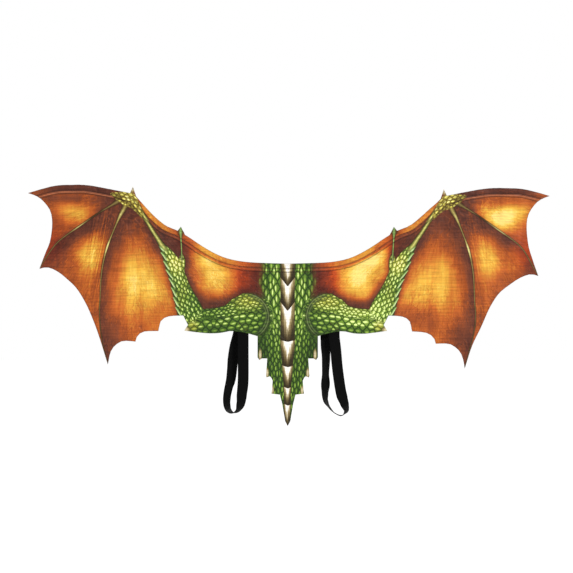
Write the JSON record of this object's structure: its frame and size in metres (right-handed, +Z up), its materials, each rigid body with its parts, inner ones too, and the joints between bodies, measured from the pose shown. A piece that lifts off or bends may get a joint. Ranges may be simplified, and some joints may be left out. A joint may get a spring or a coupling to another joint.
{
  "type": "dragon wings",
  "caption": "Costume dragon wings cut from one printed cloth with a scaled body and tail, a strip sewn behind the top edge and two elastic arm loops.",
  "frame": {"origin": "on the back of the cloth in the middle of the body, 62 mm below the neck edge, where it lies between the wearer's shoulder blades", "axes": "+X to the right as seen from the printed side, +Y out of the back of the cloth towards the wearer, +Z up"},
  "size_m": [1.2019, 0.0479, 0.5537],
  "materials": {
    "printed_cloth": "printed, slight sheen",
    "hem_cloth": "matt",
    "elastic": "matt"
  },
  "bodies": {
    "root": {"wing_sheet": "printed_cloth", "top_hem": "hem_cloth", "strap_left": "elastic", "strap_right": "elastic"}
  },
  "joints": []
}
